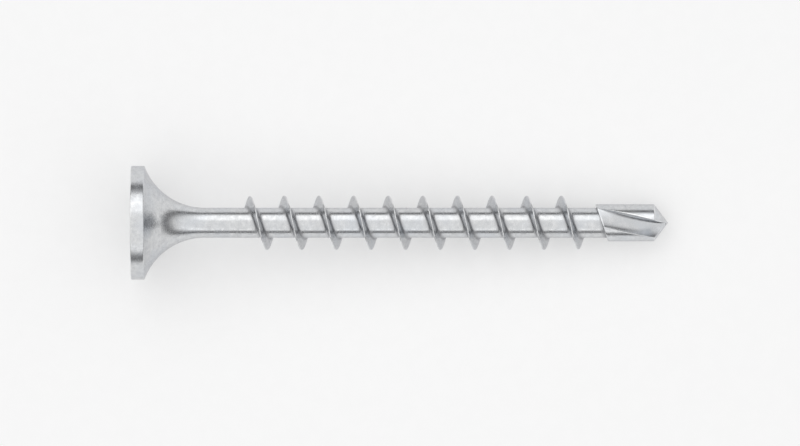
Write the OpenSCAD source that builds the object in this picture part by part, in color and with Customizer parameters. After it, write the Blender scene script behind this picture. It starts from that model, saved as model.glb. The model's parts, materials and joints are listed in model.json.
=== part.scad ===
// Self-drilling bugle head screw for fixing gypsum board to thin steel studs.
// One piece of cold-formed steel wire: headed, recessed, point pinched and thread rolled.
// It lies on a flat surface, on its head and its thread, with the point towards +X.

/* [Overall] */
// Length over all, from the flat of the head to the tip of the point
length = 38; // [32:0.5:60]

/* [Head] */
// Diameter of the head
head_d = 8.05; // [7.4:0.05:9]
// Thickness of the straight rim round the head
rim_t = 0.95; // [0.6:0.05:1.3]
// Broken edge round the flat of the head
edge_break = 0.06; // [0.02:0.01:0.2]
// Radius of the curved underside, which runs out into the shank
bugle_r = 4.54; // [4:0.02:6]

/* [Drive recess] */
// Diameter across the wings of the cross recess, at the flat of the head
mouth_d = 4.7; // [4.2:0.1:5.2]
// Diameter across the wings where their slope ends
foot_d = 2.3; // [2:0.05:2.6]
// Slope of the wings' outer ends, from the screw's axis
wing_slope = 26.5; // [24:0.5:30]
// Depth of the shallow cone below the wings
cone_depth = 0.6; // [0.3:0.05:0.9]
// Thickness of a wing at its foot
wing_t = 0.7; // [0.5:0.05:0.9]
// Draft on each side of a wing
wing_draft = 5.75; // [3:0.25:8]
// Width across the flats of the square core between the wings, at their foot
core_flats = 1.47; // [1.2:0.01:1.7]
// Draft on each flat of the square core
core_draft = 10; // [5:0.5:14]

/* [Shank and thread] */
// Diameter of the shank and of the root of the thread
core_d = 2.12; // [1.9:0.02:2.4]
// Diameter over the crest of the thread
thread_d = 3.85; // [3.4:0.05:4.4]
// Distance from one turn of the thread to the next
pitch = 2.45; // [1.8:0.05:3]
// Angle between the two flanks of the thread
flank_angle = 29; // [25:1:40]
// Width of the flat on the crest
crest_w = 0.06; // [0.03:0.01:0.12]
// Plain shank between the head's curve and the start of the thread
plain_l = 2.05; // [0.5:0.05:8]
// Share of a turn in which the thread rises to its full height at each end
runout = 0.45; // [0.25:0.05:0.7]

/* [Drill point] */
// Diameter over the lands of the drill point
drill_d = 2.62; // [2.46:0.02:3]
// Length of the drill point along the axis, from its shoulder to its tip
drill_l = 4.7; // [3.6:0.1:6]
// Angle between the sides of the point
point_angle = 106; // [90:1:130]
// Slope of the shoulder behind the lands, from square across the axis
shoulder_slope = 18.8; // [0:0.2:24]
// Root of the thread left bare between the end of the thread and the shoulder
neck_l = 0.5; // [0.4:0.05:2]
// Distance along the axis in which a flute would turn once round
flute_lead = 32; // [20:1:60]
// Angle round the axis that each flute opens over
flute_angle = 62; // [40:1:80]
// Thickness of the web between the flutes at the tip
web_t = 0.4; // [0.3:0.05:0.7]

/* [Hidden] */

$fn = 96;
eps = 0.01;

head_r = head_d / 2;
core_r = core_d / 2;
thread_r = thread_d / 2;
drill_r = drill_d / 2;

// Places along the axis, measured from the flat of the head.
bugle_l = sqrt(pow(bugle_r, 2) - pow(core_r + bugle_r - head_r, 2));
head_h = rim_t + bugle_l;
shoulder_z = length - drill_l;
thread_start_z = head_h + plain_l;
thread_end_z = shoulder_z - neck_l;
point_l = drill_r / tan(point_angle / 2);
// The shoulder slopes, so its two sides lie this much nearer the tip and the head.
shoulder_rise = drill_r * tan(shoulder_slope);
shank_end_z = shoulder_z + shoulder_rise;

// Angles round the axis are counted from the side that faces up as the screw lies.
down = 180;
shoulder_a = 90;
thread_end_a = 255;
lip_a = 3;

// A right-hand thread: one step of the sweep is this many degrees.
thread_step = 6;
thread_turns = (thread_end_z - thread_start_z) / pitch;
thread_steps = round(thread_turns * 360 / thread_step);
// The ridge's foot is sunk this far into the shank, so that the two are one solid.
ridge_sink = 0.2;
// The ridge's ends lie this far under the shank's surface.
end_sink = 0.05;

// Slices along each flute, and straight stretches across its curved floor.
flute_slices = 26;
flute_floor_parts = 5;
// Height of the flute's floor above the shank where it runs out.
flute_lift = 0.04;
// The flute's cut reaches this far outside the drill point.
flute_over = 0.3;
// Its hollow floor is carried this far out at the heel, and so breaks cleanly through the land.
heel_over = 0.05;

function mix(a, b, t) = a + (b - a) * t;
function polar(r, a) = [r * cos(a), r * sin(a)];

// Height of the thread's crest at a number of turns back from its end.
function rise(turns_back) =
    min(1, turns_back / runout, (thread_turns - turns_back) / runout);
function crest_r(turns_back) = mix(core_r - end_sink, thread_r, rise(turns_back));

// Where the side that faces down could touch the surface, as [place along the axis, radius].
down_back = (thread_end_a - down) / 360;
low_points = concat(
    [for (k = [0 : floor(thread_turns - down_back)])
        [thread_end_z - (down_back + k) * pitch + crest_w / 2, crest_r(down_back + k)]],
    [[length - point_l, drill_r], [shoulder_z, drill_r]]
);
// The screw tips over its rim until the first of those points touches.
lie_tilt = min([for (p = low_points) atan2(head_r - p[1], p[0] - rim_t)]);
lie_lift = head_r * cos(lie_tilt) + rim_t * sin(lie_tilt);
lie_mid = (length * cos(lie_tilt) - (head_r - edge_break) * sin(lie_tilt)) / 2;

// Sides of a body whose rings all have n points, and its two ends.
function skin(rings, n) = [
    for (i = [0 : rings - 2])
        for (j = [0 : n - 1])
            let (a = i * n + j, b = i * n + (j + 1) % n, c = b + n, d = a + n)
                each [[a, b, c], [a, c, d]]
];
function first_end(n) = [[for (j = [n - 1 : -1 : 0]) j]];
function last_end(rings, n) = [[for (j = [0 : n - 1]) (rings - 1) * n + j]];

// Wire headed into a bugle: flat rim, curved underside and shank, turned in one profile.
// The shank has the diameter of the thread's root, and runs on into the drill point.
module blank() {
    rotate_extrude()
        difference() {
            polygon([
                [0, 0],
                [head_r - edge_break, 0],
                [head_r, edge_break],
                [head_r, head_h],
                [core_r, head_h],
                [core_r, shank_end_z],
                [0, shank_end_z]
            ]);
            translate([core_r + bugle_r, head_h]) circle(r = bugle_r);
        }
}

// Cross recess for the driver: a turned outline that only the wings and the core are left of.
module drive_recess() {
    wing_depth = (mouth_d - foot_d) / 2 / tan(wing_slope);
    depth = wing_depth + cone_depth;
    // Half width of a drafted side, from its half width at the wings' foot.
    function half(foot, draft, z) = foot / 2 + (wing_depth - z) * tan(draft);
    module wing() {
        top = half(wing_t, wing_draft, -eps);
        last = half(wing_t, wing_draft, depth + eps);
        translate([mouth_d, 0, 0]) rotate([0, -90, 0])
            linear_extrude(height = 2 * mouth_d)
                polygon([[-eps, -top], [-eps, top], [depth + eps, last], [depth + eps, -last]]);
    }
    module core() {
        translate([0, 0, -eps])
            cylinder(
                h = depth + 2 * eps,
                r1 = half(core_flats, core_draft, -eps) * sqrt(2),
                r2 = half(core_flats, core_draft, depth + eps) * sqrt(2),
                $fn = 4
            );
    }
    intersection() {
        rotate_extrude()
            polygon([
                [0, -eps],
                [mouth_d / 2 + eps * tan(wing_slope), -eps],
                [foot_d / 2, wing_depth],
                [0, depth]
            ]);
        union() {
            for (a = [0, 90]) rotate(a) wing();
            core();
        }
    }
}

// One ridge swept along a right-hand helix, running out into the shank at both ends.
module thread() {
    slope = tan(flank_angle / 2);
    foot_r = core_r - ridge_sink;
    function ring(i) =
        let (
            back = i * thread_step / 360,
            crest = crest_r(back),
            foot_w = crest_w + 2 * (crest - foot_r) * slope,
            a = thread_end_a - i * thread_step,
            z = thread_end_z - back * pitch
        )
        [for (p = [[foot_r, foot_w], [crest, crest_w], [crest, -crest_w], [foot_r, -foot_w]])
            [each polar(p[0], a), z + p[1] / 2]];
    rings = thread_steps + 1;
    polyhedron(
        points = [for (i = [0 : thread_steps]) each ring(i)],
        faces = concat(skin(rings, 4), first_end(4), last_end(rings, 4)),
        convexity = 20
    );
}

// Round point with its sloping shoulder, before the flutes are formed.
module drill_body() {
    behind = 2 * shoulder_rise + 1;
    difference() {
        translate([0, 0, shoulder_z - behind]) union() {
            cylinder(h = behind + drill_l - point_l, r = drill_r);
            translate([0, 0, behind + drill_l - point_l]) cylinder(h = point_l, r1 = drill_r, r2 = 0);
        }
        translate([0, 0, shoulder_z])
            rotate(shoulder_a)
                rotate([0, -shoulder_slope, 0])
                    translate([0, 0, -behind]) cube([4 * drill_d, 4 * drill_d, 2 * behind], center = true);
    }
}

// One flute: a straight cutting face on the low side and a hollow floor up to the heel.
// Its floor climbs from the web at the tip until it clears the shank at the shoulder.
module flute(turn) {
    outer_r = drill_r + flute_over;
    from_z = shoulder_z - shoulder_rise - flute_over;
    to_z = length + flute_over;
    function lead_a(z) = lip_a + turn + 360 * (z - length) / flute_lead;
    // Where the cutting face meets the shoulder, and the floor's height there.
    runout_z = shoulder_z + shoulder_rise * cos(lead_a(shoulder_z) - shoulder_a);
    runout_r = (core_r + flute_lift) / cos(flute_angle / 2);
    function floor_r(z) = mix(web_t / 2, runout_r, (length - z) / (length - runout_z));
    function ring(i) =
        let (
            z = mix(from_z, to_z, i / flute_slices),
            lead = lead_a(z),
            heel = lead + flute_angle,
            r = max(floor_r(z), flute_lift),
            root = polar(r, lead),
            bend = polar(r, heel),
            edge = polar(max(drill_r, r) + heel_over, heel),
            hollow = [for (j = [0 : flute_floor_parts])
                let (t = j / flute_floor_parts) mix(mix(root, bend, t), mix(bend, edge, t), t)]
        )
        [for (p = concat([polar(outer_r, lead)], hollow, [polar(outer_r, heel)])) [each p, z]];
    n = flute_floor_parts + 3;
    rings = flute_slices + 1;
    polyhedron(
        points = [for (i = [0 : flute_slices]) each ring(i)],
        faces = concat(skin(rings, n), first_end(n), last_end(rings, n)),
        convexity = 6
    );
}

// Headed blank with the drill point pinched at its end.
module pointed_blank() {
    difference() {
        union() {
            blank();
            drill_body();
        }
        for (turn = [0, 180]) flute(turn);
    }
}

// The screw lies on its rim and on the thread, turned so that its point is towards +X.
module lie() {
    translate([-lie_mid, 0, lie_lift])
        rotate([0, 90 + lie_tilt, 0])
            rotate(180)
                children();
}

module screw() {
    color("lightgray")
        lie()
            difference() {
                union() {
                    pointed_blank();
                    thread();
                }
                drive_recess();
            }
}

screw();
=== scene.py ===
"""A self-drilling drywall screw, lying on a white bench as it comes to rest.

The screw is one skin of rings, from the bottom of its drive recess, over the head and along the
thread, to the tip of its drill point. Lengths are in metres. Along the screw they are measured from
the flat of the head, and angles round it from the side that faces up.
"""

import json
import math

import bmesh
import bpy
import numpy as np
from bpy.props import FloatProperty, FloatVectorProperty, IntProperty, PointerProperty
from bpy.types import Operator, Panel, PropertyGroup
from mathutils import Matrix, Vector


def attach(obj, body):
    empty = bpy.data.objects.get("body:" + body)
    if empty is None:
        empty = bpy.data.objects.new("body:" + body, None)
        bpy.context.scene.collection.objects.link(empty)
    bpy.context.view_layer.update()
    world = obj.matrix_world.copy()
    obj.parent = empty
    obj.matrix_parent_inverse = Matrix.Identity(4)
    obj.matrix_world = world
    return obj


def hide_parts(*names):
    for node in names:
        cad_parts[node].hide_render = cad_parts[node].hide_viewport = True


bl_info = {
    "name": "Drywall Screw",
    "version": (1, 0, 0),
    "blender": (4, 5, 0),
    "location": "View3D > Sidebar > Screw",
    "description": "Self-drilling bugle head drywall screw with a plated finish, on a white bench",
    "category": "Mesh",
}

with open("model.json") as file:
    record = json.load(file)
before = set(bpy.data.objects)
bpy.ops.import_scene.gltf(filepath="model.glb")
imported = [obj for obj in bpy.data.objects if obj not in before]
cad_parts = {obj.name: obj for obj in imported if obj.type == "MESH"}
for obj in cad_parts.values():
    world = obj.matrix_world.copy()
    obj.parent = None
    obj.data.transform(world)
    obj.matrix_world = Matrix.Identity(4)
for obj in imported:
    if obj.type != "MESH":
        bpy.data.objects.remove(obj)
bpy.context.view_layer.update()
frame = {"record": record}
MOUNTS = {mount["name"]: mount for mount in frame["record"]["mounts"]}
HEAD_CENTRE = Vector(MOUNTS["drive_recess"]["pos_m"])
TIP = Vector(MOUNTS["drill_point"]["pos_m"])

MM = 0.001
TURN = 2 * math.pi

# Size of the photograph in pixels, and places in it: the head's end line, the tip and the axis.
PHOTO_WIDTH, PHOTO_HEIGHT = 800, 446
HEAD_PX, TIP_PX, AXIS_PX = 131.0, 668.0, 222.75


def length_property(name, description, default, smallest, largest):
    """A length that a user would change, given in mm and held in metres."""
    return FloatProperty(
        name=name,
        description=description,
        default=default * MM,
        min=smallest * MM,
        max=largest * MM,
        precision=5,
        unit="LENGTH",
        subtype="DISTANCE",
    )


def angle_property(name, description, default, smallest, largest):
    """An angle that a user would change, given in degrees."""
    return FloatProperty(
        name=name,
        description=description,
        default=math.radians(default),
        min=math.radians(smallest),
        max=math.radians(largest),
        unit="ROTATION",
        subtype="ANGLE",
    )


def share_property(name, description, default):
    """A share from nothing to all."""
    return FloatProperty(
        name=name, description=description, default=default, min=0, max=1, subtype="FACTOR"
    )


def colour_property(name, description, default):
    """A colour of the finish or the stage."""
    return FloatVectorProperty(
        name=name, description=description, default=default, size=3, min=0, max=1, subtype="COLOR"
    )


class HeadSizes(PropertyGroup):
    """The bugle head and the plain shank under it."""

    width: length_property("Head", "Diameter of the head", 8.05, 7, 9)
    rim: length_property("Rim", "Thickness of the straight rim", 0.95, 0.6, 1.3)
    bugle: length_property("Bugle", "Radius of the curved underside", 4.54, 4, 6)
    soft_edge: length_property("Edge", "Rounding of the rim's edges", 0.07, 0.02, 0.2)
    shank: length_property("Shank", "Diameter of the shank", 2.12, 1.9, 2.4)


class RecessSizes(PropertyGroup):
    """The cross recess for the driver."""

    mouth: length_property("Mouth", "Diameter across the wings at the face", 4.7, 4, 5.2)
    foot: length_property("Foot", "Diameter across the wings' foot", 2.3, 2, 2.6)
    wing_slope: angle_property("Wing slope", "Slope of the wings' outer ends", 26.5, 24, 30)
    cone: length_property("Cone", "Depth of the cone below the wings", 0.6, 0.3, 0.9)
    wing: length_property("Wing", "Thickness of a wing at its foot", 0.7, 0.5, 0.9)
    wing_draft: angle_property("Wing draft", "Draft on each side of a wing", 5.75, 3, 8)
    core: length_property("Core", "Width of the square core at its foot", 1.47, 1.2, 1.7)
    core_draft: angle_property("Core draft", "Draft on each flat of the core", 10, 5, 14)
    lip: length_property("Lip", "Rounding of the recess's mouth", 0.06, 0.02, 0.1)


class ThreadSizes(PropertyGroup):
    """The rolled right-hand thread."""

    width: length_property("Thread", "Diameter over the crest", 3.85, 3.4, 4.4)
    pitch: length_property("Pitch", "Distance from turn to turn", 2.45, 1.8, 3)
    flanks: angle_property("Flanks", "Angle between the two flanks", 29, 25, 40)
    crest: length_property("Crest", "Width of the crest", 0.06, 0.03, 0.12)
    plain: length_property("Plain", "Plain shank before the thread", 2.05, 0.5, 8)
    neck: length_property("Neck", "Bare root between thread and shoulder", 0.5, 0.4, 2)
    root: length_property("Root", "Rounding between flank and root", 0.16, 0.04, 0.3)
    runout: share_property("Run-out", "Share of a turn in which the thread rises", 0.45)
    end_angle: angle_property("End", "Angle round the screw where the thread ends", 255, 0, 360)


class PointSizes(PropertyGroup):
    """The drill point with its two flutes."""

    width: length_property("Point", "Diameter over the lands", 2.62, 2.46, 3)
    length: length_property("Length", "Length from shoulder to tip", 4.7, 3.6, 6)
    sides: angle_property("Sides", "Angle between the point's sides", 106, 90, 130)
    shoulder: angle_property("Shoulder", "Slope of the shoulder", 18.8, 0, 24)
    lead: length_property("Lead", "Length in which a flute turns once", 32, 20, 60)
    flute: angle_property("Flute", "Angle that a flute opens over", 62, 40, 80)
    lip_angle: angle_property("Lip", "Angle of the first cutting lip at the tip", 3, 0, 360)
    web: length_property("Web", "Thickness between the flutes at the tip", 0.4, 0.3, 0.7)
    soft_edge: length_property("Edge", "Rounding of the lands' edges", 0.03, 0.01, 0.1)


class PlatingLook(PropertyGroup):
    """The bright zinc plating."""

    bright: colour_property("Bright", "Where the plating lies thick", (0.74, 0.745, 0.75))
    dull: colour_property("Dull", "Where the plating lies thin", (0.60, 0.61, 0.62))
    tint: colour_property("Tint", "Faint colour of the clear coat on the zinc", (0.63, 0.66, 0.70))
    lines: colour_property("Lines", "In the lines that the tools left", (0.45, 0.46, 0.48))
    # Painted shade: a dark colour laid into the thread's root, the recess and other nooks, where shade
    # falls.
    nook_shade: colour_property("Nooks", "In the sheltered nooks", (0.26, 0.26, 0.27))
    # Wear with a painted highlight: a pale colour laid on the crests, lips and other edges.
    worn_sheen: colour_property("Edges", "On the burnished edges", (0.90, 0.90, 0.90))
    slant: colour_property("Slant", "Reflections where it is seen at a slant", (0.82, 0.82, 0.83))
    roughness: share_property("Roughness", "Roughness of the plating", 0.22)
    relief: length_property("Relief", "Depth of the fine relief", 0.012, 0, 0.05)
    relief_strength: share_property("Relief strength", "How strongly the relief shows", 0.35)


class BenchLook(PropertyGroup):
    """The white bench and the soft light over it."""

    bench: colour_property("Bench", "Colour of the bench", (0.97, 0.97, 0.97))
    white: share_property("White", "Share of plain white in what the bench shows of itself", 0.35)
    horizon: colour_property("Horizon", "Light from the pale walls", (0.97, 0.97, 0.97))
    sky_low: colour_property("Low sky", "Light from the sides", (0.12, 0.12, 0.125))
    sky_high: colour_property("High sky", "Light from above", (1.0, 1.0, 1.0))
    lens: FloatProperty(
        name="Lens", description="Focal length of the camera", default=600, min=50, max=700, unit="CAMERA"
    )
    lamp_power: FloatProperty(
        name="Lamp", description="Power of the main lamp", default=3.0, min=0, max=40, unit="POWER"
    )


class ScrewSettings(PropertyGroup):
    """All that a user would change."""

    head: PointerProperty(type=HeadSizes)
    recess: PointerProperty(type=RecessSizes)
    thread: PointerProperty(type=ThreadSizes)
    point: PointerProperty(type=PointSizes)
    plating: PointerProperty(type=PlatingLook)
    bench: PointerProperty(type=BenchLook)
    columns: IntProperty(
        name="Columns", description="Points round the screw, a multiple of 8", default=144, min=112, max=240
    )


# Small shape tools

# A length that is as good as nothing, and still divides.
TINY = 1e-12
# A rounding takes at most this share of the side that it cuts into.
ROUNDING_SHARE = 0.45
# Columns of a ring that hold its heights, its wear with a painted highlight, and its painted shade.
HEIGHT, WORN_SHEEN, NOOK_SHADE = 2, 3, 4
# Multiplied by this, a ring has no wear, no painted highlight and no painted shade.
PLAIN = (1, 1, 1, 0, 0)


def mix(a, b, share):
    """From a to b."""
    return a + (b - a) * share


def polar(radius, angle):
    """Points at that radius and angle, one a row."""
    return np.stack((radius * np.cos(angle), radius * np.sin(angle)), axis=-1)


def turned(points, angle):
    """Points across the screw, turned round its axis by one angle or each by its own."""
    cos, sin = np.cos(angle), np.sin(angle)
    return np.column_stack(
        (points[:, 0] * cos - points[:, 1] * sin, points[:, 0] * sin + points[:, 1] * cos)
    )


def drawn_in(points, reach):
    """Points across the screw, drawn in to that radius where they lie beyond it."""
    far = np.linalg.norm(points, axis=1)
    return points * np.minimum(1, reach / np.maximum(far, TINY))[:, None]


def steps_to(end, count):
    """That many even steps from nothing to the end, without the nothing."""
    return np.linspace(0, end, count + 1)[1:]


def bend(start, corner, end, share):
    """A soft corner: a point on the curve from start to end that the corner pulls."""
    return mix(mix(start, corner, share), mix(corner, end, share), share)


def soft_corner(before, corner, after, reach, steps):
    """A polyline's corner, rounded off over that reach along both of its sides, or less on a short one."""
    before, corner, after = (np.array(p, float) for p in (before, corner, after))
    start, end = (
        corner + (far - corner) * min(reach / np.linalg.norm(far - corner), ROUNDING_SHARE)
        for far in (before, after)
    )
    return [bend(start, corner, end, k / steps) for k in range(steps + 1)]


def soft_min(value, limit, soft):
    """The value, held at the limit, with a soft bend of that half width where it gets there."""
    bent = value - (value - limit + soft) ** 2 / (4 * soft)
    return np.where(value < limit - soft, value, np.where(value > limit + soft, limit, bent))


def ring(outline, heights, worn_sheen=0.0, nook_shade=0.0):
    """A ring of points from its outline across the screw and its heights along it.

    Each point also says how worn it is, as an edge with a painted highlight,
    and how much painted shade it has, as a nook.
    """
    count = len(outline)
    return np.column_stack((outline, *(np.broadcast_to(v, count) for v in (heights, worn_sheen, nook_shade))))


def round_rings(profile, angles, worn_sheen=()):
    """Round rings of a profile of (radius, height) pairs, the worn ones, with a painted highlight, by their
    numbers.
    """
    return [
        ring(polar(radius, angles), height, worn_sheen=float(number in worn_sheen))
        for number, (radius, height) in enumerate(profile)
    ]


# Places along the screw, which the pieces share


class Layout:
    """Where each part of the screw begins and ends, and how far out it reaches."""

    def __init__(self, sizes):
        head, thread, point = sizes.head, sizes.thread, sizes.point
        self.columns = sizes.columns
        self.even_angles = TURN * np.arange(sizes.columns) / sizes.columns
        self.length = (TIP - HEAD_CENTRE).length
        self.core = head.shank / 2
        self.head = head.width / 2
        self.crest = thread.width / 2
        self.drill = point.width / 2
        self.bugle_centre = (
            self.core + head.bugle,
            head.rim + math.sqrt(head.bugle**2 - (self.core + head.bugle - self.head) ** 2),
        )
        self.shoulder = self.length - point.length
        self.shoulder_slope = math.tan(point.shoulder)
        self.thread_start = self.bugle_centre[1] + thread.plain
        self.thread_end = self.shoulder - thread.neck
        self.thread_turns = (self.thread_end - self.thread_start) / thread.pitch
        self.cone_base = self.length - self.drill / math.tan(point.sides / 2)

    def shoulder_height(self, outline):
        """Height of the sloping shoulder at those points across the screw."""
        return self.shoulder + self.shoulder_slope * outline[:, 1]


# Drive recess and head

# Rounding of the recess's upright corners.
RECESS_CORNER = 0.07 * MM
# Steps along an eighth of its outline: half a wing's end, each corner, and half a flat of the core.
WING_END_STEPS, CORNER_STEPS, CORE_STEPS = 3, 3, 3
# A wing reaches at least this many times as far out as the corner where it leaves the core.
LEAST_WING = 1.1
# Rings of the recess, as shares of the way up its cone, then up its walls and round its lip.
CONE_SHARES = (0.04, 0.25, 0.5, 0.75, 0.93)
WALL_RINGS, LIP_RINGS = 9, 4
# Rings of the flat face and of the rim's straight side, as shares of the way across.
FACE_SHARES = (0.1, 0.4, 0.7, 0.95)
RIM_SHARES = (0.08, 0.33, 0.67, 0.92)
# Steps round each edge of the rim, and points along the bugle's curve.
EDGE_STEPS, BUGLE_POINTS = 5, 40
# The rim's rear edge is rounded towards this point of that curve.
BUGLE_START = 3


def recess_depths(recess):
    """Depth of the wings' foot, and of the bottom."""
    wings = (recess.mouth - recess.foot) / 2 / math.tan(recess.wing_slope)
    return wings, wings + recess.cone


def recess_outline(place, recess, depth, grow=0.0):
    """The cross at that depth, grown outwards by that much.

    Each eighth has the same count of points at every depth, so that the rings fit each other.
    """
    above = recess_depths(recess)[0] - depth
    half_wing = recess.wing / 2 + above * math.tan(recess.wing_draft) + grow
    half_core = recess.core / 2 + above * math.tan(recess.core_draft) + grow
    if above >= 0:
        reach = recess.foot / 2 + above * math.tan(recess.wing_slope) + grow
    else:
        reach = recess.foot / 2 * max(1 + above / recess.cone, 0)

    # The corners of the first eighth, from the middle of a wing's end to the middle of a core's flat.
    inner_corner = np.array((half_core * math.sqrt(2) - half_wing, half_wing))
    wing_end = max(reach, LEAST_WING * np.linalg.norm(inner_corner))
    wing_corner = np.array((math.sqrt(wing_end**2 - half_wing**2), half_wing))
    wing_middle = np.array((wing_end, 0.0))
    core_middle = np.array((half_core, half_core)) / math.sqrt(2)

    end = soft_corner(wing_middle, wing_corner, inner_corner, RECESS_CORNER, CORNER_STEPS)
    inner = soft_corner(wing_corner, inner_corner, core_middle, RECESS_CORNER, CORNER_STEPS)
    side_steps = place.columns // 8 - WING_END_STEPS - 2 * CORNER_STEPS - CORE_STEPS
    end_angles = np.linspace(0, math.atan2(end[0][1], end[0][0]), WING_END_STEPS, False)
    eighth = [*polar(wing_end, end_angles), *end]
    eighth += [mix(end[-1], inner[0], share) for share in steps_to(1, side_steps)[:-1]]
    eighth += inner + [mix(inner[-1], core_middle, share) for share in steps_to(1, CORE_STEPS)]

    eighth = drawn_in(np.array(eighth), reach)
    quarter = np.vstack((eighth, eighth[-2:0:-1, ::-1]))
    return np.vstack([turned(quarter, k * TURN / 4) for k in range(4)])


def recess_rings(place, recess):
    """From the bottom of the recess to its mouth in the face."""
    wing_depth, depth = recess_depths(recess)
    cone = [wing_depth + recess.cone * (1 - share) for share in CONE_SHARES]
    walls = np.linspace(wing_depth, recess.lip, WALL_RINGS)
    # Painted shade in the recess, darker the deeper it lies.
    rings = [ring(recess_outline(place, recess, z), z, nook_shade=z / depth) for z in (*cone, *walls)]
    # The lip is a quarter of a round, and most worn in its middle, with the most painted highlight there.
    for share in steps_to(1, LIP_RINGS):
        sunk = recess.lip * (1 - math.sin(share * TURN / 4))
        grown = recess.lip * (1 - math.cos(share * TURN / 4))
        rings.append(ring(recess_outline(place, recess, sunk, grown), sunk, worn_sheen=1 - abs(share - 0.5)))
    return rings


def head_profile(place, head):
    """The rim and the bugle's curve, from the face to the shank, and the numbers of its worn points, which
    get a painted highlight.
    """
    centre = np.array(place.bugle_centre)
    start = math.atan2(head.rim - centre[1], place.head - centre[0])
    curve = centre + polar(head.bugle, np.linspace(start, -TURN / 2, BUGLE_POINTS))
    front, rear = (place.head, 0), (place.head, head.rim)
    front_edge = soft_corner((0, 0), front, rear, head.soft_edge, EDGE_STEPS)
    rear_edge = soft_corner(front, rear, curve[BUGLE_START], head.soft_edge, EDGE_STEPS)
    side = [mix(front_edge[-1], rear_edge[0], share) for share in RIM_SHARES]
    return [*front_edge, *side, *rear_edge, *curve[1:]], range(1, EDGE_STEPS)


# Drill point

# Half the outline across the point is one flute and the land behind it, in these pieces: how many
# points each has, how worn it is, with a painted highlight, and how much painted shade it has. The
# land has the points that are left.
FLUTE_PIECES = {
    "face": (7, 0, 0),
    "root": (4, 0, 1),
    "floor": (16, 0, 0.25),
    "heel": (3, 1, 0),
    "land": (0, 0, 0),
    "lip": (3, 1, 0),
}
# The flute's floor clears the shank by this much where it runs out at the shoulder.
FLOOR_LIFT = 0.04 * MM
# The floor's hollow curve is carried this far out past the land, and is cut off there.
HEEL_OVER = 0.05 * MM
# The land lies at least this many times as far out as the floor.
LEAST_LAND = 1.01
# Rounding between cutting face and floor, and the most of the floor's curve that it takes.
FLUTE_ROOT, ROOT_SHARE = 0.12 * MM, 0.25
# An edge's rounding is at most this share of the radius, and takes this much of itself off the floor.
EDGE_SHARE, HEEL_SHARE = 0.12, 0.6
# Where a flute is shallower than this, its wear with its painted highlight and its painted shade fade.
SHALLOW = 0.3 * MM
# Halvings that find the end of the floor, and rounds that bring the outline onto the shoulder.
HALVINGS, SHOULDER_ROUNDS = 22, 8
# Nearly the whole radius, which tells the points on a land from those in a flute.
ON_LAND, ON_LAND_EDGE = 0.99, 0.999

# Rounding at the shoulder's foot and edge, and the most that it takes of the shoulder's width.
SHOULDER_SOFT, SHOULDER_SHARE = 0.05 * MM, 0.4
# Shares of the way round the shoulder's foot and its edge.
FOOT_SHARES = (0.0, 0.33, 0.67, 1.0)
EDGE_SHARES = (0.0, 0.25, 0.5, 0.75, 1.0)
# Where the ring between the thread and the shoulder lies, and the one on the shoulder's slope.
NECK_SHARE, SLOPE_SHARE = 0.6, 0.4
# Rings along the lands, round the edge of the cone and along it, and how near its tip the last one lies.
LAND_RINGS, CONE_EDGE_RINGS, CONE_RINGS, LAST_RING = 29, 4, 15, 0.96
# How much of the way the skin's columns along the thread go from the point's outline to even angles.
EVEN_SHARE = 0.2


def share_at_radius(curve, reach):
    """How far along the bends of that curve they get out to that radius, each to its own."""
    low, high = np.zeros_like(reach), np.ones_like(reach)
    for _ in range(HALVINGS):
        middle = (low + high) / 2
        out = np.linalg.norm(bend(*curve, middle[:, None]), axis=1) > reach
        low, high = np.where(out, low, middle), np.where(out, middle, high)
    return low


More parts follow.
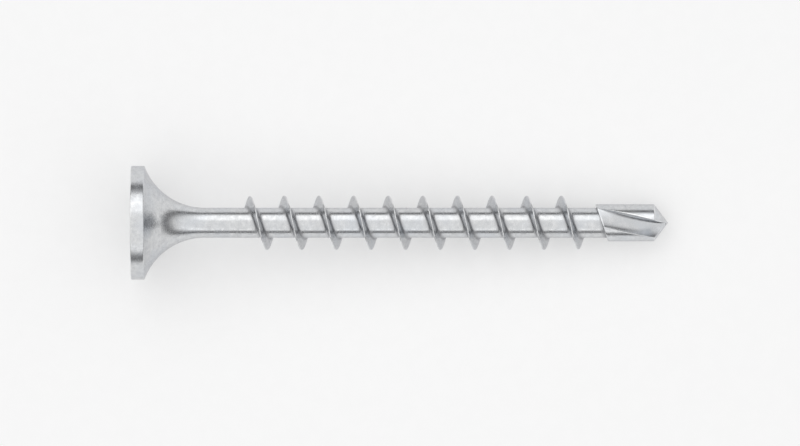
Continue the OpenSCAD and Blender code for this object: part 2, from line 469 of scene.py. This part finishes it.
class Flutes:
    """The outline across the drill point, and how it changes along it."""

    def __init__(self, place, point):
        self.place, self.point = place, point
        self.half = place.columns // 2
        counts = {name: piece[0] for name, piece in FLUTE_PIECES.items()}
        counts["land"] = self.half - sum(counts.values())
        self.pieces = np.repeat(list(counts), list(counts.values()))
        self.steps = np.concatenate([np.arange(count) / count for count in counts.values()])[:, None]
        self.worn_sheen = np.array([FLUTE_PIECES[name][1] for name in self.pieces])
        self.nook_shade = np.array([FLUTE_PIECES[name][2] for name in self.pieces])
        rise = place.drill * place.shoulder_slope
        cutting_faces = self.lead_angle(place.shoulder) + np.array((0, TURN / 2))
        self.runout = place.shoulder + rise * np.sin(cutting_faces)
        self.runout_floor = (place.core + FLOOR_LIFT) / math.cos(point.flute / 2)

    def lead_angle(self, z):
        """Angle of the first cutting face."""
        return self.point.lip_angle + TURN * (z - self.place.length) / self.point.lead

    def outer(self, z):
        """Radius of the lands and, past them, of the point's cone, with a soft edge between."""
        cone = (self.place.length - z) * math.tan(self.point.sides / 2)
        return soft_min(cone, self.place.drill, self.point.soft_edge)

    def half_outline(self, z, side):
        """One flute and the land behind it, each point at its own height."""
        outer = self.outer(z)
        share = (self.place.length - z) / (self.place.length - self.runout[side])
        inner = mix(self.point.web / 2, self.runout_floor, share)
        reach = np.maximum(outer, LEAST_LAND * inner)
        # The roundings at the two ends of the cutting face take at most a third of it each.
        third = (reach - inner) / 3
        edge_soft = np.minimum(third, np.minimum(self.point.soft_edge, EDGE_SHARE * reach))
        root_soft = np.minimum(third, FLUTE_ROOT)

        # The floor is one bend, from the foot of the cutting face to beyond the heel of the land.
        floor = (
            polar(inner, 0.0),
            polar(inner, self.point.flute),
            polar(np.maximum(self.place.drill, inner) + HEEL_OVER, self.point.flute),
        )
        heel = share_at_radius(floor, reach)
        width = np.linalg.norm(floor[1] - floor[0], axis=1)
        floor_start = (heel * np.minimum(root_soft / np.maximum(2 * width, TINY), ROOT_SHARE))[:, None]
        floor_end = (heel * (1 - HEEL_SHARE * edge_soft / reach))[:, None]
        heel_x, heel_y = bend(*floor, heel[:, None]).T
        heel_angle = np.arctan2(heel_y, heel_x)
        land_start, land_end = heel_angle + edge_soft / reach, TURN / 2 - edge_soft / reach
        face_foot = polar(inner + root_soft, 0.0)
        lip = (polar(reach, land_end), polar(reach, TURN / 2), polar(reach - edge_soft, TURN / 2))

        steps = self.steps
        pieces = {
            "face": mix(polar(reach - edge_soft, 0.0), face_foot, steps),
            "root": bend(face_foot, floor[0], bend(*floor, floor_start), steps),
            "floor": bend(*floor, mix(floor_start, floor_end, steps)),
            "heel": bend(bend(*floor, floor_end), polar(reach, heel_angle), polar(reach, land_start), steps),
            "land": polar(reach, mix(land_start, land_end, steps[:, 0])),
            "lip": bend(*lip, steps),
        }
        outline = np.select([self.pieces[:, None] == name for name in pieces], list(pieces.values()))
        outline = turned(drawn_in(outline, outer), self.lead_angle(z) + side * TURN / 2)
        depth = np.clip((outer - inner) / SHALLOW, 0, 1)
        return ring(outline, z, self.worn_sheen * depth, self.nook_shade * depth)

    def outline(self, z, worn_sheen=0.0):
        """The whole outline, each point at its own height, with its lands worn, with a painted highlight, by
        at least that much.
        """
        z = np.broadcast_to(z, 2 * self.half)
        points = np.vstack((self.half_outline(z[: self.half], 0), self.half_outline(z[self.half :], 1)))
        on_land = np.linalg.norm(points[:, :2], axis=1) > ON_LAND * self.outer(z)
        points[:, WORN_SHEEN] = np.maximum(points[:, WORN_SHEEN], worn_sheen * on_land)
        return points

    def at_shoulder(self):
        """The outline where it meets the sloping shoulder."""
        points = self.outline(self.place.shoulder)
        for _ in range(SHOULDER_ROUNDS):
            points = self.outline(self.place.shoulder_height(points))
        return points


def column_angles(place, outline):
    """Angles of the skin's columns along the thread, which fit the drill point's outline."""
    angles = np.unwrap(np.arctan2(outline[:, 1], outline[:, 0]))
    even = place.even_angles + (angles - place.even_angles).mean()
    return mix(angles, even, EVEN_SHARE)


def shoulder_rings(place, flutes, angles, low):
    """From a round ring at that height, up the sloping shoulder and round its edge.

    Only the lands' edges are rounded, and that fades towards the flutes, whose edges stay sharp.
    """
    edge = flutes.at_shoulder()
    far = np.linalg.norm(edge[:, :2], axis=1)
    soft = np.minimum(SHOULDER_SOFT, SHOULDER_SHARE * (far - place.core))
    shank, slope = polar(place.core, angles), polar(place.core + soft, angles)
    shank_end = place.shoulder_height(shank)
    # The shoulder's foot gets full painted shade.
    foot = (
        ring(shank, shank_end - soft, nook_shade=1),
        ring(shank, shank_end, nook_shade=1),
        ring(slope, place.shoulder_height(slope), nook_shade=1),
    )
    rings = [ring(shank, low), ring(shank, mix(low, shank_end - soft, NECK_SHARE))]
    rings += [bend(*foot, share) for share in FOOT_SHARES]

    on_land = far > ON_LAND_EDGE * place.drill
    inside_land = on_land & np.roll(on_land, 1) & np.roll(on_land, -1)
    soft = soft * inside_land * sum(np.roll(inside_land, k) for k in (-1, 0, 1)) / 3
    inside = edge[:, :2] * ((far - soft) / far)[:, None]
    start = ring(inside, place.shoulder_height(inside))
    rings.append(mix(rings[-1], start, SLOPE_SHARE) * PLAIN)
    # The shoulder's edge is worn, with a painted highlight.
    edge[:, WORN_SHEEN] = 1
    end = flutes.outline(edge[:, HEIGHT] + soft)
    return rings + [bend(start, edge, end, share) for share in EDGE_SHARES]


def point_rings(place, point, flutes, angles, low):
    """From a round ring at that height, over the shoulder, lands and flutes, to the point's cone."""
    rings = shoulder_rings(place, flutes, angles, low)
    cone_start, cone_end = place.cone_base - point.soft_edge, place.cone_base + point.soft_edge
    # The ring round the cone's edge is worn, with a painted highlight.
    for start, end, shares, worn_sheen in (
        (rings[-1][:, HEIGHT], cone_start, steps_to(1, LAND_RINGS), 0),
        (cone_start, cone_end, steps_to(1, CONE_EDGE_RINGS), 1),
        (cone_end, place.length, steps_to(LAST_RING, CONE_RINGS), 0),
    ):
        rings += [flutes.outline(mix(start, end, share), worn_sheen) for share in shares]
    return rings


# Thread

# Most of the crest's width, and of the thread's height, that the rounding of the crest takes.
CREST_WIDTH_SHARE, CREST_HEIGHT_SHARE = 0.4, 0.3
# Most of the thread's height that the rounding of the root takes.
ROOT_HEIGHT_SHARE = 0.45
# Points round the crest's edge, down the flank and along the bare root, as shares of the way.
CREST_SHARES, FLANK_SHARES, BARE_SHARES = (0, 0.5, 1), (0.08, 0.35, 0.65, 0.9), (0.2, 0.6)
# Points round the root's rounding, with how much painted shade each of them has.
ROOT_NOOK_SHADE = {0: 0.5, 0.25: 1, 0.5: 1, 0.75: 0.7, 1: 0.3}
# The thread's rows are held between two round rings, which lie this far beyond its two ends.
THREAD_MARGIN = 0.05 * MM
# Turns of rows that are made beyond the thread's own, so that they reach past those rings all round.
SPARE_TURNS = 3
# Share of the thread's height over which a run-out eases into full height.
RISE_SOFT = 0.25


def thread_half(height, thread):
    """One side of the thread, from its crest to the middle of the root, for an array of crest heights.

    Each point has its distances from the crest's middle, its heights, how worn it is, with a painted
    highlight, and how much painted shade it has.
    """
    slope = math.tan(thread.flanks / 2)
    down = np.array((slope, -1.0)) / math.hypot(slope, 1)
    zero = np.zeros_like(height)
    crest = np.stack((zero + thread.crest / 2, height))
    root = np.stack((thread.crest / 2 + height * slope, zero))
    middle = np.stack((zero + thread.pitch / 2, zero))
    crest_soft = np.minimum(CREST_WIDTH_SHARE * thread.crest, CREST_HEIGHT_SHARE * height)
    root_soft = np.minimum(thread.root, ROOT_HEIGHT_SHARE * height)
    crest_in = crest - np.stack((crest_soft, zero))
    crest_out = crest + down[:, None] * crest_soft
    root_in = root - down[:, None] * root_soft
    root_out = root + np.stack((root_soft, zero))
    # The crest is worn, with a painted highlight, and the root's rounding gets painted shade.
    points = [(*bend(crest_in, crest, crest_out, share), 1, 0) for share in CREST_SHARES]
    points += [(*mix(crest_out, root_in, share), 0, 0) for share in FLANK_SHARES]
    points += [(*bend(root_in, root, root_out, share), 0, nook_shade) for share, nook_shade in ROOT_NOOK_SHADE.items()]
    points += [(*mix(root_out, middle, share), 0, 0) for share in BARE_SHARES]
    return points


def thread_rows(place, thread, angles, low, high):
    """The thread's rows, each a whole turn of its helix, held between two round rings."""
    around = np.append(angles, angles[0] + TURN)
    crest_at_zero = place.thread_end - thread.pitch * thread.end_angle / TURN
    rows = []
    for turn in range(-int(place.thread_turns) - SPARE_TURNS, SPARE_TURNS):
        crest_z = crest_at_zero + thread.pitch * (turn + around / TURN)
        back = (place.thread_end - crest_z) / thread.pitch
        rise = np.maximum(np.minimum(back, place.thread_turns - back) / thread.runout, 0)
        rise = soft_min(rise, 1, RISE_SOFT)
        height = (place.crest - place.core) * rise
        half = thread_half(height, thread)
        across = [(-out, *rest) for out, *rest in reversed(half)] + [(0, height, 1, 0)] + half
        rows += [(crest_z + out, up, worn_sheen * rise, nook_shade * rise) for out, up, worn_sheen, nook_shade in across]
        rows.append((crest_z + thread.pitch / 2, np.zeros_like(height), 0, 0))
    grid = []
    for z, height, worn_sheen, nook_shade in rows:
        held = np.clip(z, low, high)
        on_thread = held == z
        outline = polar(place.core + height * on_thread, around)
        grid.append(ring(outline, held, worn_sheen * on_thread, nook_shade * on_thread))
    return grid


# Skin

# Rings along the plain shank.
SHANK_RINGS = 12
# Points nearer than this are one, and edges shorter than this go.
WELD, SLIVER = 1e-7, 1e-8


def add_rows(points, faces, rows, closed=True):
    """Adds rows of points with the faces between them, and says where the first and last row begin."""
    columns = len(rows[0])
    first, last = len(points), len(points) + columns * (len(rows) - 1)
    for row in rows:
        points.extend(row)
    for start in range(first, last, columns):
        for k in range(columns if closed else columns - 1):
            here, beside = start + k, start + (k + 1) % columns
            faces.append((here, beside, beside + columns, here + columns))
    return first, last


def add_fan(points, faces, start, columns, height, nook_shade):
    """Closes the row that begins there with a fan of faces to a point on the axis."""
    points.append(np.array((0, 0, height, 0, nook_shade)))
    peak = len(points) - 1
    faces += [(peak, start + k, start + (k + 1) % columns) for k in range(columns)]


def screw_skin(sizes):
    """The whole screw in its own frame, as rows of x, y, z, wear with a painted highlight, and painted
    shade, and its faces.
    """
    place = Layout(sizes)
    flutes = Flutes(place, sizes.point)
    angles = column_angles(place, flutes.at_shoulder())
    shift = round(angles[0] / TURN * place.columns)
    even = place.even_angles + shift * TURN / place.columns

    recess = [np.roll(row, -shift, axis=0) for row in recess_rings(place, sizes.recess)]
    profile, worn_sheen = head_profile(place, sizes.head)
    rim = round_rings(profile, even, worn_sheen)
    face = [mix(recess[-1], rim[0], share) * PLAIN for share in FACE_SHARES]
    low, high = place.thread_start - THREAD_MARGIN, place.thread_end + THREAD_MARGIN
    shank = []
    for share in steps_to(1, SHANK_RINGS):
        shank += round_rings([(place.core, mix(profile[-1][1], low, share))], mix(even, angles, share))

    points, faces = [], []
    bottom_row, _ = add_rows(points, faces, recess + face + rim + shank)
    add_rows(points, faces, thread_rows(place, sizes.thread, angles, low, high), closed=False)
    _, tip_row = add_rows(points, faces, point_rings(place, sizes.point, flutes, angles, high))
    # The bottom of the recess gets full painted shade.
    add_fan(points, faces, bottom_row, place.columns, recess_depths(sizes.recess)[1], nook_shade=1)
    add_fan(points, faces, tip_row, place.columns, place.length, nook_shade=0)
    return np.array(points), faces


def screw_matrix():
    """The screw's own frame in the shared one: its axis runs from the head's face to the tip."""
    along = (TIP - HEAD_CENTRE).normalized()
    side = along.cross(Vector((0, 0, 1))).normalized()
    up = side.cross(along)
    axes = Matrix((up, along.cross(up), along)).transposed().to_4x4()
    return Matrix.Translation(HEAD_CENTRE) @ axes


def weld(mesh):
    """Joins the rows to one closed skin, at its seams and where the thread's rows are held at its ends."""
    work = bmesh.new()
    work.from_mesh(mesh)
    bmesh.ops.remove_doubles(work, verts=work.verts, dist=WELD)
    bmesh.ops.dissolve_degenerate(work, edges=work.edges, dist=SLIVER)
    bmesh.ops.recalc_face_normals(work, faces=work.faces)
    if not all(edge.is_manifold for edge in work.edges):
        raise RuntimeError("With these sizes the screw's skin doesn't close")
    for face in work.faces:
        face.smooth = True
    work.to_mesh(mesh)
    work.free()
    mesh.validate()


# Finish

# Patterns of the plating, as noise: how fine, for each mm, how much detail and how rough that is.
CLOUDS = (0.55, 2.0, 0.5)
MOTTLE = (3.2, 5.0, 0.62)
GRAIN = (17.0, 3.0, 0.55)
# Lines round the screw, for each mm, and how far the clouds throw them off.
ROUND_LINES, ROUND_WANDER = 22.0, 2.0
# Lines along the plain shank, for each mm across and along them.
DRAWN_LINES, DRAWN_STRETCH = 26.0, 0.7
# Where the lines along the shank come in at the end of the bugle's curve and go out at the start of
# the thread, and where all lines go out at the shoulder, in mm from each.
DRAWN_START, DRAWN_END, LINES_END = (-0.91, 0.39), (-0.6, 0.4), (-0.1, 0.3)
# Most of a noise lies between these values.
NOISE_SPREAD = (0.3, 0.7)
# From which value to which of the mottle the plating goes from dull to bright.
MOTTLE_COLOUR = (0.36, 0.68)
# The same for the clouds' tint and for the tools' lines, each with its shares of colour at both.
CLOUD_COLOUR = (0.42, 0.70, 0.0, 0.55)
LINE_COLOUR = (0.35, 0.70, 0.10, 0.0)
# How the mottle breaks up the wear with its painted highlight, and the painted shade, with how much of them
# is left at both values.
UNEVEN = (0.30, 0.55, 0.45, 1.0)
# How much of its own colour a nook has, as painted shade, and a worn edge, as wear with a painted highlight.
NOOK_SHADE_COLOUR, WORN_SHEEN_COLOUR = 0.75, 0.6
# What the mottle and the lines add to the roughness at their low and high values, and what a nook
# and a worn edge add.
MOTTLE_ROUGH, LINE_ROUGH = (0.07, -0.05), (0.05, -0.03)
NOOK_ROUGH, WORN_ROUGH = 0.15, -0.08
# How much of the grain, the lines and the mottle is in the relief.
GRAIN_RELIEF, LINE_RELIEF, MOTTLE_RELIEF = 0.5, 0.7, 0.8
# Fineness and shade of the bench's faint specks.
SPECKS, SPECK_SHADE = 900.0, 0.985


class NodeMaker:
    """Adds shader nodes and links them, with each input a value or another node's output."""

    def __init__(self, owner):
        owner.use_nodes = True
        self.tree = owner.node_tree
        self.tree.nodes.clear()

    def add(self, kind, inputs=None, output=0, **settings):
        """Adds a node, and gives one of its outputs by number or name, where it has any."""
        node = self.tree.nodes.new(kind)
        for name, value in settings.items():
            setattr(node, name, value)
        for key, value in (inputs or {}).items():
            if isinstance(value, bpy.types.NodeSocket):
                self.tree.links.new(value, node.inputs[key])
            else:
                node.inputs[key].default_value = value
        return node.outputs[output] if node.outputs else None

    def parts(self, vector):
        """The x, y and z of a vector."""
        return self.add("ShaderNodeSeparateXYZ", {0: vector}).node.outputs

    def vector(self, x, y, z):
        """The vector of three numbers."""
        return self.add("ShaderNodeCombineXYZ", {0: x, 1: y, 2: z})

    def maths(self, operation, first, second, clamp=False):
        """What a maths node makes of two numbers."""
        return self.add("ShaderNodeMath", {0: first, 1: second}, operation=operation, use_clamp=clamp)

    def plus(self, first, second, clamp=False):
        """The sum of two numbers."""
        return self.maths("ADD", first, second, clamp)

    def times(self, first, second):
        """The product of two numbers."""
        return self.maths("MULTIPLY", first, second)

    def ramp(self, value, start, end, low=0.0, high=1.0, smooth=False):
        """Maps start to low and end to high, and holds beyond them."""
        kind = "SMOOTHSTEP" if smooth else "LINEAR"
        inputs = {"Value": value, "From Min": start, "From Max": end, "To Min": low, "To Max": high}
        return self.add("ShaderNodeMapRange", inputs, interpolation_type=kind)

    def noise(self, vector, scale, detail=2.0, roughness=0.5):
        """Noise at that place, with how fine, how detailed and how rough it is."""
        inputs = {"Vector": vector, "Scale": scale, "Detail": detail, "Roughness": roughness}
        return self.add("ShaderNodeTexNoise", inputs)

    def blend(self, share, low, high):
        """From one number to another, by the sockets that the node has for numbers."""
        return self.add("ShaderNodeMix", {0: share, 2: low, 3: high})

    def cover(self, share, low, high):
        """One colour over another, by the sockets that the node has for colours."""
        low, high = (c if isinstance(c, bpy.types.NodeSocket) else (*c, 1) for c in (low, high))
        return self.add("ShaderNodeMix", {0: share, 6: low, 7: high}, output=2, data_type="RGBA")


def screw_place(nodes):
    """Where each point lies in the screw's own frame, in mm."""
    matrix = screw_matrix()
    inputs = {
        "Vector": nodes.add("ShaderNodeTexCoord", output="Object"),
        "Location": matrix.translation,
        "Rotation": matrix.to_euler(),
        "Scale": (MM, MM, MM),
    }
    return nodes.add("ShaderNodeMapping", inputs, vector_type="TEXTURE")


def tool_lines(nodes, own, cloud, place):
    """Lines that rolling left round the screw and drawing along its plain shank, with none on the point."""
    x, y, along = nodes.parts(own)
    flat = nodes.vector(x, y, 0)
    out = nodes.add("ShaderNodeVectorMath", {0: flat}, output="Value", operation="LENGTH")
    around = nodes.vector(
        nodes.times(out, ROUND_LINES), nodes.times(along, ROUND_LINES), nodes.times(cloud, ROUND_WANDER)
    )
    drawn = nodes.vector(
        nodes.times(x, DRAWN_LINES), nodes.times(y, DRAWN_LINES), nodes.times(along, DRAWN_STRETCH)
    )

    def past(height, fade, low=0.0, high=1.0):
        """From low to high where the screw gets past that height."""
        return nodes.ramp(along, *(height / MM + d for d in fade), low, high, smooth=True)

    past_bugle = past(place.bugle_centre[1], DRAWN_START)
    before_thread = past(place.thread_start, DRAWN_END, 1.0, 0.0)
    on_shank = nodes.times(past_bugle, before_thread)
    lines = nodes.blend(on_shank, nodes.noise(around, 1.0), nodes.noise(drawn, 1.0))
    return nodes.blend(past(place.shoulder, LINES_END), lines, cloud)


def plating_material(look, place):
    """Bright zinc on cold-formed steel: mottled, lined by the tools, worn at edges with a painted highlight
    there, and with painted shade in nooks.
    """
    material = bpy.data.materials.new("zinc_plated_steel")
    nodes = NodeMaker(material)
    own = screw_place(nodes)
    cloud, mottle, grain = (nodes.noise(own, *pattern) for pattern in (CLOUDS, MOTTLE, GRAIN))
    lines = tool_lines(nodes, own, cloud, place)
    uneven = nodes.ramp(mottle, *UNEVEN)
    # Wear with its painted highlight, and painted shade, as the skin's points carry them, broken up by the
    # mottle.
    worn_sheen, nook_shade = (
        nodes.times(nodes.add("ShaderNodeAttribute", output="Fac", attribute_name=name), uneven)
        for name in ("worn_sheen", "nook_shade")
    )

    base = nodes.cover(nodes.ramp(mottle, *MOTTLE_COLOUR), look.dull, look.bright)
    # A dark colour paints shade into the nooks, and a pale one paints a highlight on the worn edges.
    for share, colour in (
        (nodes.ramp(cloud, *CLOUD_COLOUR), look.tint),
        (nodes.ramp(lines, *LINE_COLOUR), look.lines),
        (nodes.times(nook_shade, NOOK_SHADE_COLOUR), look.nook_shade),
        (nodes.times(worn_sheen, WORN_SHEEN_COLOUR), look.worn_sheen),
    ):
        base = nodes.cover(share, base, colour)

    rough = nodes.ramp(mottle, *NOISE_SPREAD, *(look.roughness + change for change in MOTTLE_ROUGH))
    rough = nodes.plus(rough, nodes.ramp(lines, *NOISE_SPREAD, *LINE_ROUGH))
    rough = nodes.plus(rough, nodes.times(nook_shade, NOOK_ROUGH))
    rough = nodes.plus(rough, nodes.times(worn_sheen, WORN_ROUGH), clamp=True)

    height = nodes.plus(nodes.times(grain, GRAIN_RELIEF), nodes.times(lines, LINE_RELIEF))
    height = nodes.plus(height, nodes.times(mottle, MOTTLE_RELIEF))
    relief = {"Strength": look.relief_strength, "Distance": look.relief, "Height": height}
    inputs = {
        "Base Color": base,
        "Metallic": 1.0,
        "Roughness": rough,
        "Specular Tint": (*look.slant, 1),
        "Normal": nodes.add("ShaderNodeBump", relief),
    }
    nodes.add("ShaderNodeOutputMaterial", {"Surface": nodes.add("ShaderNodeBsdfPrincipled", inputs)})
    return material


def bench_material(look):
    """A matt white bench that shows white to the camera and in the plating, and keeps the shadow."""
    material = bpy.data.materials.new("white_bench")
    nodes = NodeMaker(material)
    speck = nodes.ramp(nodes.noise(nodes.add("ShaderNodeTexCoord", output="Object"), SPECKS), *NOISE_SPREAD)
    colour = nodes.cover(speck, [SPECK_SHADE * part for part in look.bench], look.bench)
    matt = nodes.add("ShaderNodeBsdfDiffuse", {"Color": colour})
    white = nodes.add("ShaderNodeEmission", {"Color": (1, 1, 1, 1), "Strength": 1.0})
    path = nodes.add("ShaderNodeLightPath").node.outputs
    seen = nodes.plus(path["Is Camera Ray"], path["Is Glossy Ray"], clamp=True)
    seen = nodes.plus(seen, path["Is Transmission Ray"], clamp=True)
    surface = nodes.add("ShaderNodeMixShader", {0: nodes.times(seen, look.white), 1: matt, 2: white})
    nodes.add("ShaderNodeOutputMaterial", {"Surface": surface})
    return material


# Stage

# The bench reaches this far each way, in metres.
BENCH_REACH = 3.0
# Each lamp's name, place, size and share of the main lamp's power. They all point at the screw.
LAMPS = (
    ("main_lamp", (-0.36, 0.90, 1.20), (1.80, 1.10), 1.0),
    ("side_lamp", (0.60, -1.02, 0.90), (1.50, 0.30), 0.2),
)
# Heights, as sines of their angle, between which the pale walls end and the bright sky begins.
WALLS_END, SKY_START = (0.02, 0.12), (0.22, 0.62)
# Width of the camera's sensor in mm, and how near and how far it sees in metres.
SENSOR_WIDTH = 36
CLIP_START, CLIP_END = 0.01, 100


def new_object(context, name, data):
    """A new object in the scene."""
    item = bpy.data.objects.new(name, data)
    context.scene.collection.objects.link(item)
    return item


class SCREW_OT_form(Operator):
    """Forms the screw as one skin, gives it its plating and lays it where the frame has it"""

    bl_idname = "drywall_screw.form"
    bl_label = "Form Screw"
    bl_options = {"REGISTER", "UNDO"}

    def execute(self, context):
        sizes = context.scene.drywall_screw
        if sizes.columns % 8:
            raise ValueError("The number of columns has to be a multiple of 8")
        points, faces = screw_skin(sizes)
        matrix = screw_matrix()
        mesh = bpy.data.meshes.new("drywall_screw")
        mesh.from_pydata([matrix @ Vector(p[:3]) for p in points], [], faces)
        # The skin's points carry their wear, with its painted highlight, and their painted shade.
        for name, column in (("worn_sheen", WORN_SHEEN), ("nook_shade", NOOK_SHADE)):
            mesh.attributes.new(name, "FLOAT", "POINT").data.foreach_set("value", points[:, column])
        weld(mesh)
        mesh.materials.append(plating_material(sizes.plating, Layout(sizes)))
        screw = new_object(context, "drywall_screw", mesh)
        weighted = screw.modifiers.new("flat faces stay flat", "WEIGHTED_NORMAL")
        weighted.keep_sharp = True
        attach(screw, "root")
        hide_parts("screw")
        return {"FINISHED"}


class SCREW_OT_stage(Operator):
    """Sets the white bench, the soft lamps and the camera that looks down on the screw"""

    bl_idname = "drywall_screw.stage"
    bl_label = "Set Stage"
    bl_options = {"REGISTER", "UNDO"}

    def execute(self, context):
        look = context.scene.drywall_screw.bench
        self.lay_bench(context, look)
        self.hang_lamps(context, look)
        self.light_sky(context, look)
        self.aim_camera(context, look)
        return {"FINISHED"}

    def lay_bench(self, context, look):
        """A wide flat bench under the screw."""
        mesh = bpy.data.meshes.new("bench")
        corners = [(BENCH_REACH * x, BENCH_REACH * y, 0) for x, y in ((-1, -1), (1, -1), (1, 1), (-1, 1))]
        mesh.from_pydata(corners, [], [(0, 1, 2, 3)])
        mesh.materials.append(bench_material(look))
        new_object(context, "bench", mesh)

    def hang_lamps(self, context, look):
        """A large lamp above and beyond the screw, and a long narrow one on the other side."""
        for name, place, size, share in LAMPS:
            light = bpy.data.lights.new(name, "AREA")
            light.shape = "RECTANGLE"
            light.size, light.size_y = size
            light.energy = look.lamp_power * share
            lamp = new_object(context, name, light)
            lamp.location = place
            lamp.rotation_euler = (-Vector(place)).to_track_quat("-Z", "Y").to_euler()

    def light_sky(self, context, look):
        """A soft sky, bright above, darker at the sides and pale again down at the walls."""
        world = bpy.data.worlds.new("soft_sky")
        context.scene.world = world
        nodes = NodeMaker(world)
        height = nodes.parts(nodes.add("ShaderNodeTexCoord", output="Generated"))[2]
        sky = nodes.cover(nodes.ramp(height, *WALLS_END, smooth=True), look.horizon, look.sky_low)
        sky = nodes.cover(nodes.ramp(height, *SKY_START, smooth=True), sky, look.sky_high)
        nodes.add("ShaderNodeOutputWorld", {"Surface": nodes.add("ShaderNodeBackground", {"Color": sky})})

    def aim_camera(self, context, look):
        """Looks down square on the screw's axis, framed as in the photograph."""
        axis, across = TIP - HEAD_CENTRE, Vector((0, 1, 0))
        along = axis.normalized()
        back = along.cross(across)
        pixel = axis.length / (TIP_PX - HEAD_PX)
        aim = HEAD_CENTRE + along * (PHOTO_WIDTH / 2 - HEAD_PX) * pixel
        aim += across * (AXIS_PX - PHOTO_HEIGHT / 2) * pixel
        camera = bpy.data.cameras.new("camera")
        camera.lens = look.lens
        camera.sensor_width = SENSOR_WIDTH
        camera.clip_start, camera.clip_end = CLIP_START, CLIP_END
        distance = PHOTO_WIDTH * pixel * look.lens / SENSOR_WIDTH
        eye = new_object(context, "camera", camera)
        axes = Matrix((along, across, back)).transposed().to_4x4()
        eye.matrix_world = Matrix.Translation(aim + back * distance) @ axes
        context.scene.camera = eye


class SCREW_PT_panel(Panel):
    """Lists what makes the screw and its stage"""

    bl_idname = "SCREW_PT_panel"
    bl_label = "Drywall Screw"
    bl_space_type = "VIEW_3D"
    bl_region_type = "UI"
    bl_category = "Screw"

    def draw(self, context):
        settings = context.scene.drywall_screw
        layout = self.layout
        layout.operator(SCREW_OT_form.bl_idname)
        layout.operator(SCREW_OT_stage.bl_idname)
        layout.prop(settings, "columns")
        for group in (settings.head, settings.recess, settings.thread, settings.point,
                      settings.plating, settings.bench):
            box = layout.box()
            box.label(text=type(group).__doc__)
            for name in type(group).__annotations__:
                box.prop(group, name)


CLASSES = (HeadSizes, RecessSizes, ThreadSizes, PointSizes, PlatingLook, BenchLook, ScrewSettings,
           SCREW_OT_form, SCREW_OT_stage, SCREW_PT_panel)


def register():
    """Adds the classes and the screw's settings."""
    for cls in CLASSES:
        bpy.utils.register_class(cls)
    bpy.types.Scene.drywall_screw = PointerProperty(type=ScrewSettings)


def unregister():
    """Takes them away again."""
    del bpy.types.Scene.drywall_screw
    for cls in reversed(CLASSES):
        bpy.utils.unregister_class(cls)


def main():
    register()
    bpy.ops.drywall_screw.form()
    bpy.ops.drywall_screw.stage()
    bpy.context.scene.view_settings.view_transform = "Standard"


if __name__ == "__main__":
    main()
